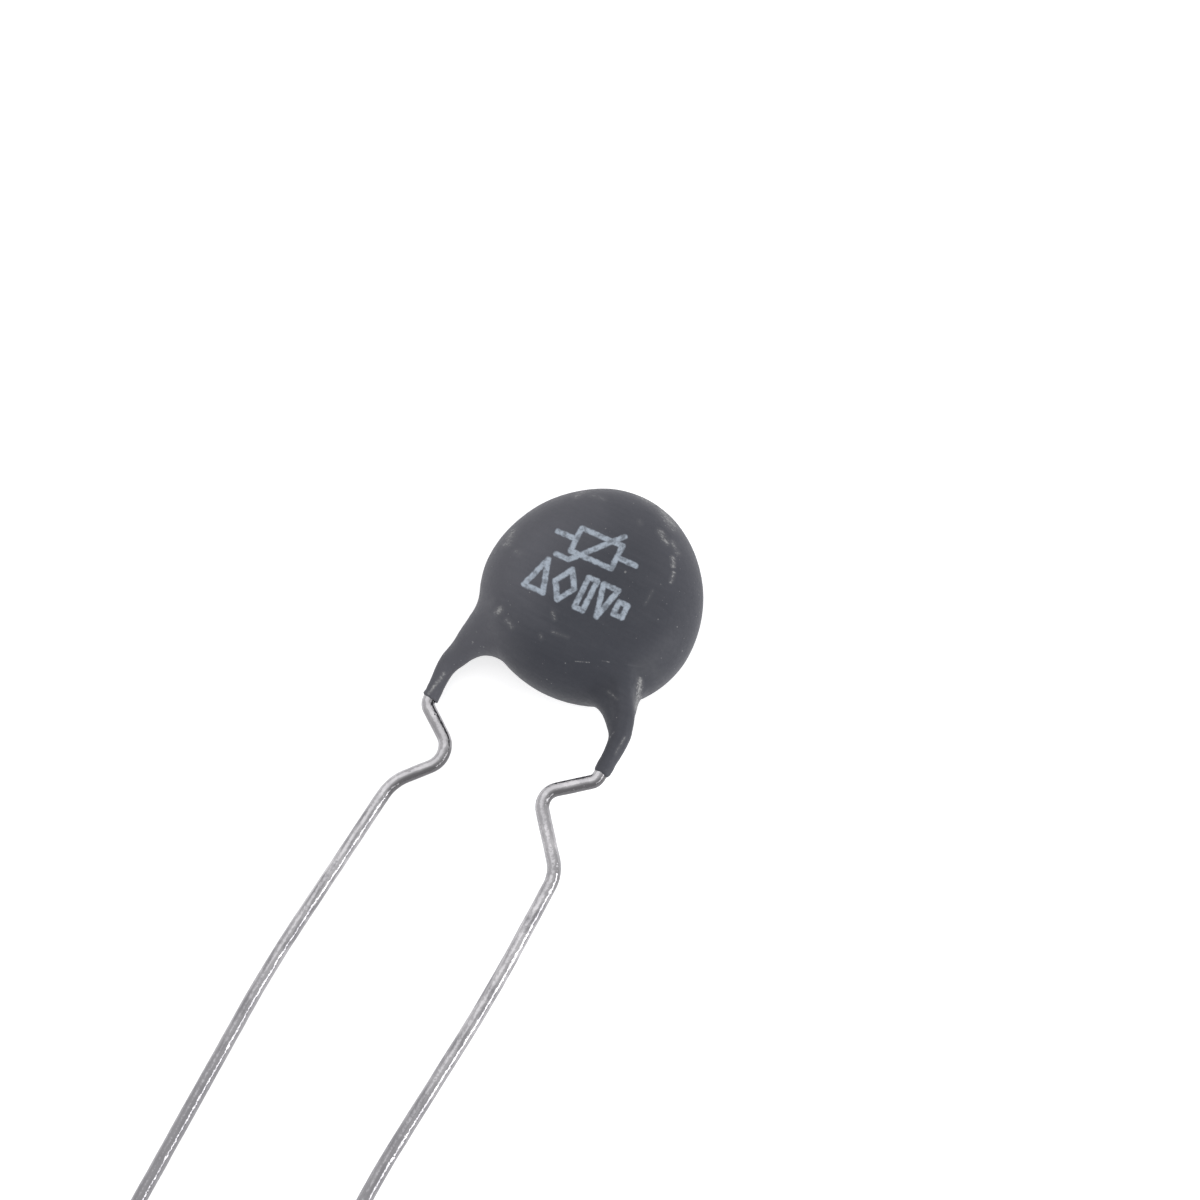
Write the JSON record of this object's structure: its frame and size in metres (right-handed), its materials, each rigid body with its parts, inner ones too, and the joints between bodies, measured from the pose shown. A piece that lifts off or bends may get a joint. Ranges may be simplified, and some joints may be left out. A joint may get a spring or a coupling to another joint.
{
  "type": "ntc thermistor",
  "caption": "Round dip-coated disc thermistor with two kinked radial wire leads, lying on its back.",
  "frame": {"origin": "on the resting face, under the centre of the ceramic disc", "axes": "+Z is the normal of the marked front face, +Y runs from the wires through the disc's centre, +X is towards the front wire"},
  "size_m": [0.0101, 0.0411, 0.0044],
  "materials": {
    "dip_coat": "satin black silicone dip coat with pale dusty scuffs",
    "tinned_wire": "bright tinned wire, slightly uneven",
    "oxide_ceramic": "sintered, dull",
    "silver_electrode": "fired silver, matt",
    "solder": "bright solder"
  },
  "bodies": {
    "root": {"coating": "dip_coat", "lead_front": "tinned_wire", "lead_back": "tinned_wire", "ceramic_disc": "oxide_ceramic", "electrode_front": "silver_electrode", "electrode_back": "silver_electrode", "solder_front": "solder", "solder_back": "solder"}
  },
  "joints": []
}
